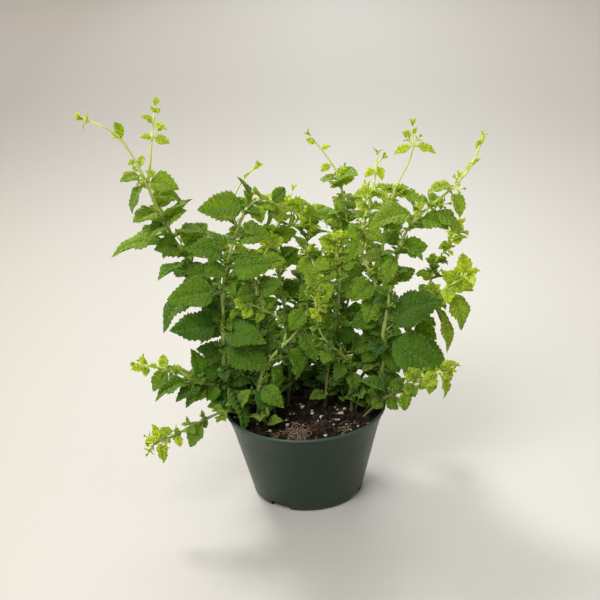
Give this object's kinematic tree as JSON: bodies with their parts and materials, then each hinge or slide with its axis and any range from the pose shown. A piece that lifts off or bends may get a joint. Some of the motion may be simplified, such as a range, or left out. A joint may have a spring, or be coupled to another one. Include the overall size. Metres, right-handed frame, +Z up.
{
  "type": "potted mint plant",
  "caption": "Bushy mint plant in a small round tapered nursery pot, with serrated leaves in pairs on square stems.",
  "frame": {"origin": "middle of the flat underside of the pot", "axes": "+Z up along the pot's axis, -Y towards the side that is seen first, +X to its right"},
  "size_m": [0.2609, 0.1624, 0.2856],
  "materials": {
    "pot_plastic": "dark green moulded nursery pot plastic, satin",
    "potting_soil": "damp dark peat mix with white perlite and brown bark fibres",
    "stem": "pale green square stems with fine hairs",
    "leaf": "soft matt green leaves, quilted by their veins, paler underneath"
  },
  "bodies": {
    "root": {"leaf_back_centre_2": "leaf", "leaf_back_centre_3": "leaf", "leaf_back_centre_4": "leaf", "leaf_back_left_1": "leaf", "leaf_back_left_2": "leaf", "leaf_back_left_3": "leaf", "leaf_back_mid_7": "leaf", "leaf_back_right_1": "leaf", "leaf_back_right_4": "leaf", "leaf_back_right_low_1": "leaf", "leaf_front_centre_3": "leaf", "leaf_front_centre_4": "leaf", "leaf_front_left_1": "leaf", "leaf_front_left_11": "leaf", "leaf_front_left_12": "leaf", "leaf_front_left_13": "leaf", "leaf_front_left_14": "leaf", "leaf_front_left_15": "leaf", "leaf_front_left_18": "leaf", "leaf_front_left_6": "leaf", "leaf_front_left_7": "leaf", "leaf_front_left_8": "leaf", "leaf_left_arch_14": "leaf", "leaf_left_arch_18": "leaf", "leaf_left_side_11": "leaf", "leaf_right_arch_15": "leaf", "leaf_right_arch_16": "leaf", "leaf_right_arch_3": "leaf", "leaf_right_arch_4": "leaf", "leaf_right_side_11": "leaf", "leaf_right_side_7": "leaf", "leaf_right_side_9": "leaf", "pot": "pot_plastic", "soil": "potting_soil", "stem_back_centre": "stem", "stem_back_left": "stem", "stem_back_left_low": "stem", "stem_back_mid": "stem", "stem_back_right": "stem", "stem_back_right_low": "stem", "stem_back_upper": "stem", "stem_centre_back": "stem", "stem_centre_left": "stem", "stem_centre_right": "stem", "stem_front_centre": "stem", "stem_front_left": "stem", "stem_left_arch": "stem", "stem_left_low": "stem", "stem_right_arch": "stem", "stem_right_back": "stem", "stem_right_front": "stem", "stem_right_low": "stem", "stem_right_side": "stem", "stem_right_tall": "stem"}
  },
  "joints": []
}
